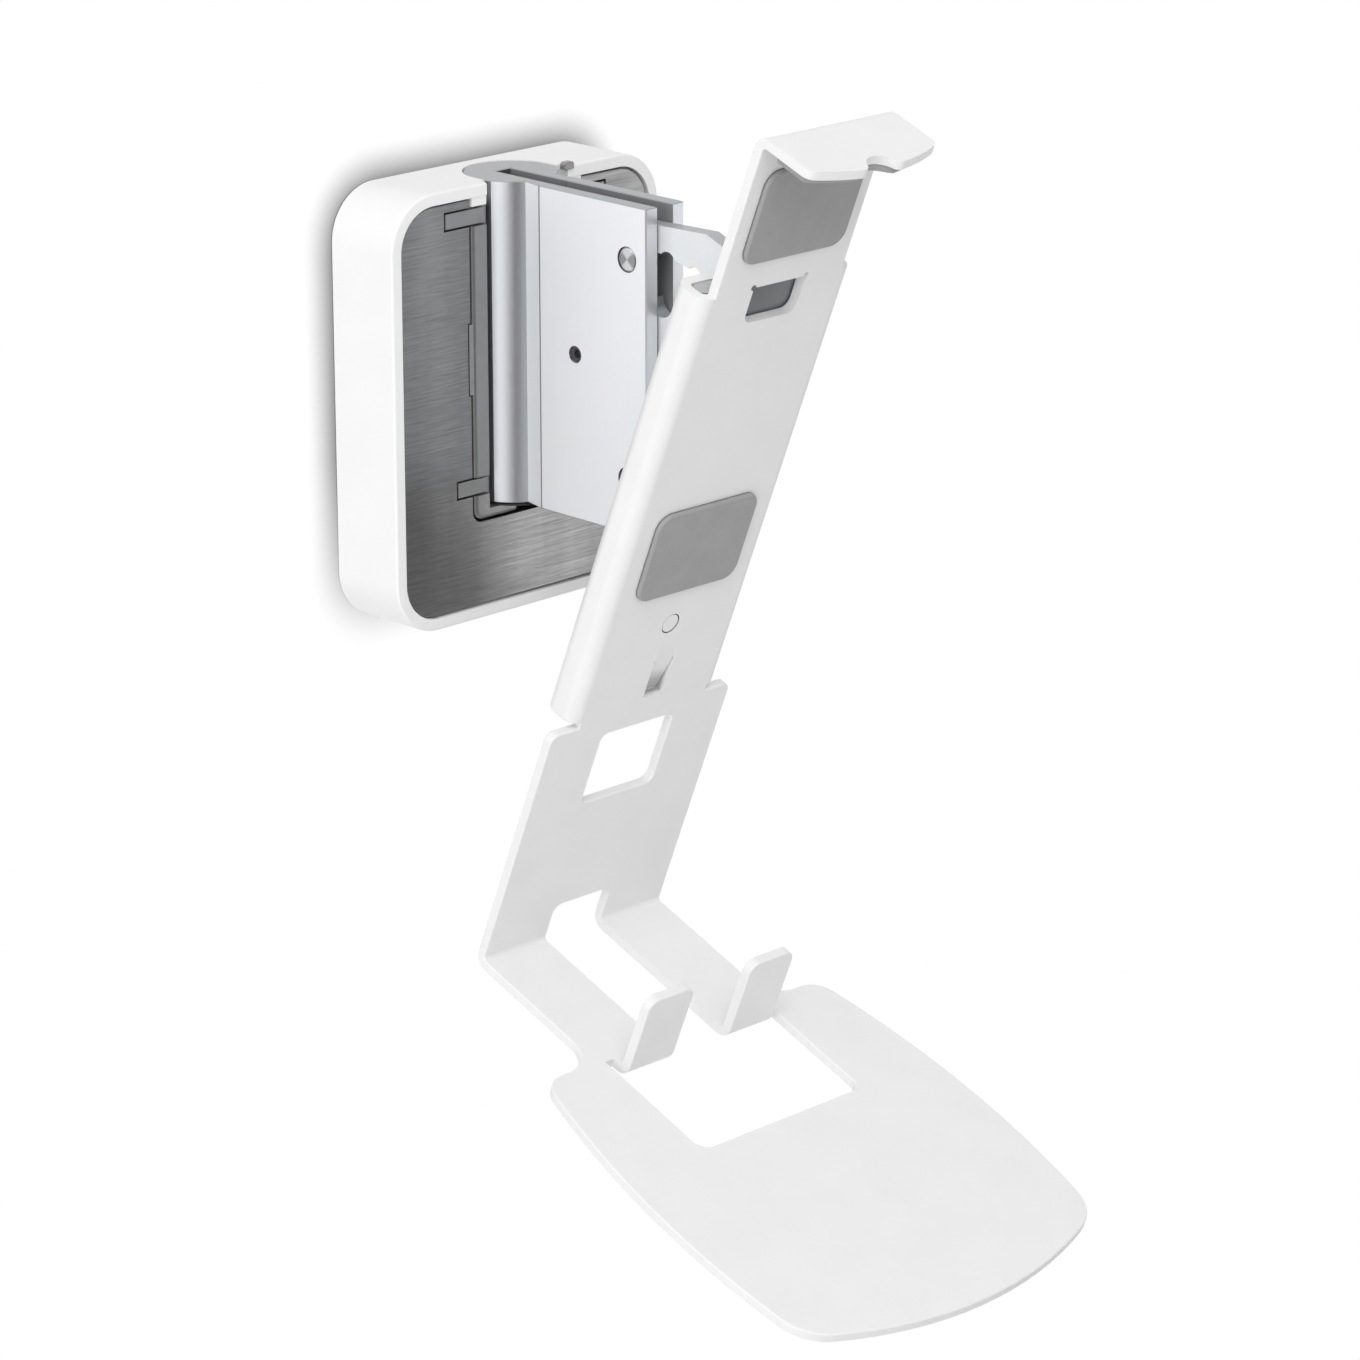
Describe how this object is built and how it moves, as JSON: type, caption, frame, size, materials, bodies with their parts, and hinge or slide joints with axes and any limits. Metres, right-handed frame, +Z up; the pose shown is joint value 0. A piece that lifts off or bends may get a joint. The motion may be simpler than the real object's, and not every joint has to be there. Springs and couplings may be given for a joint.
{
  "type": "speaker wall bracket",
  "caption": "White wall bracket for a compact speaker: wall box with a brushed face, an arm that pans, and a tilting folded-steel rest with a broad tongue, padded upright and top lip.",
  "frame": {"origin": "on the wall, at the middle of the back of the wall box", "axes": "+X to the right along the wall as seen from the room, +Y into the wall, so that the bracket stands out along -Y, +Z up"},
  "size_m": [0.131, 0.2097, 0.3299],
  "materials": {
    "white_paint": "fine satin powder coat",
    "white_plastic": "smooth satin moulding",
    "brushed_face": "brushed across",
    "aluminium": "fine anodised",
    "grey_plastic": "fine grain",
    "grey_pad": "soft matt foam rubber",
    "zinc_steel": "bright zinc plating",
    "nylon": "plain nylon"
  },
  "bodies": {
    "wall_box": {"wall_plate": "zinc_steel", "arm_cradle": "grey_plastic", "cradle_screws": "zinc_steel", "brake_shoe": "nylon", "thrust_washer": "nylon", "wall_cover": "white_plastic", "face_plate": "brushed_face", "upper_clips": "grey_plastic", "lower_clips": "grey_plastic", "top_clip": "grey_plastic"},
    "pan_arm": {"arm": "aluminium", "pivot_rivet": "zinc_steel", "guide_rivet": "zinc_steel", "lock_screw": "zinc_steel", "friction_washers": "nylon"},
    "speaker_rest": {"tilt_carrier": "aluminium", "pivot_bush": "nylon", "speaker_bracket": "white_paint", "stop_rivet": "white_paint", "upper_pad": "grey_pad", "lower_pad": "grey_pad", "lip_pad": "grey_pad"}
  },
  "joints": [
    {"name": "pan", "type": "hinge", "parent": "wall_box", "child": "pan_arm", "pos_m": [0, -0.0185, 0], "axis": [0, 0, 1], "range_deg": [-35, 35]},
    {"name": "tilt", "type": "hinge", "parent": "pan_arm", "child": "speaker_rest", "pos_m": [0, -0.0743, -0.0155], "axis": [1, 0, 0], "range_deg": [-21.65, 5.35]}
  ]
}
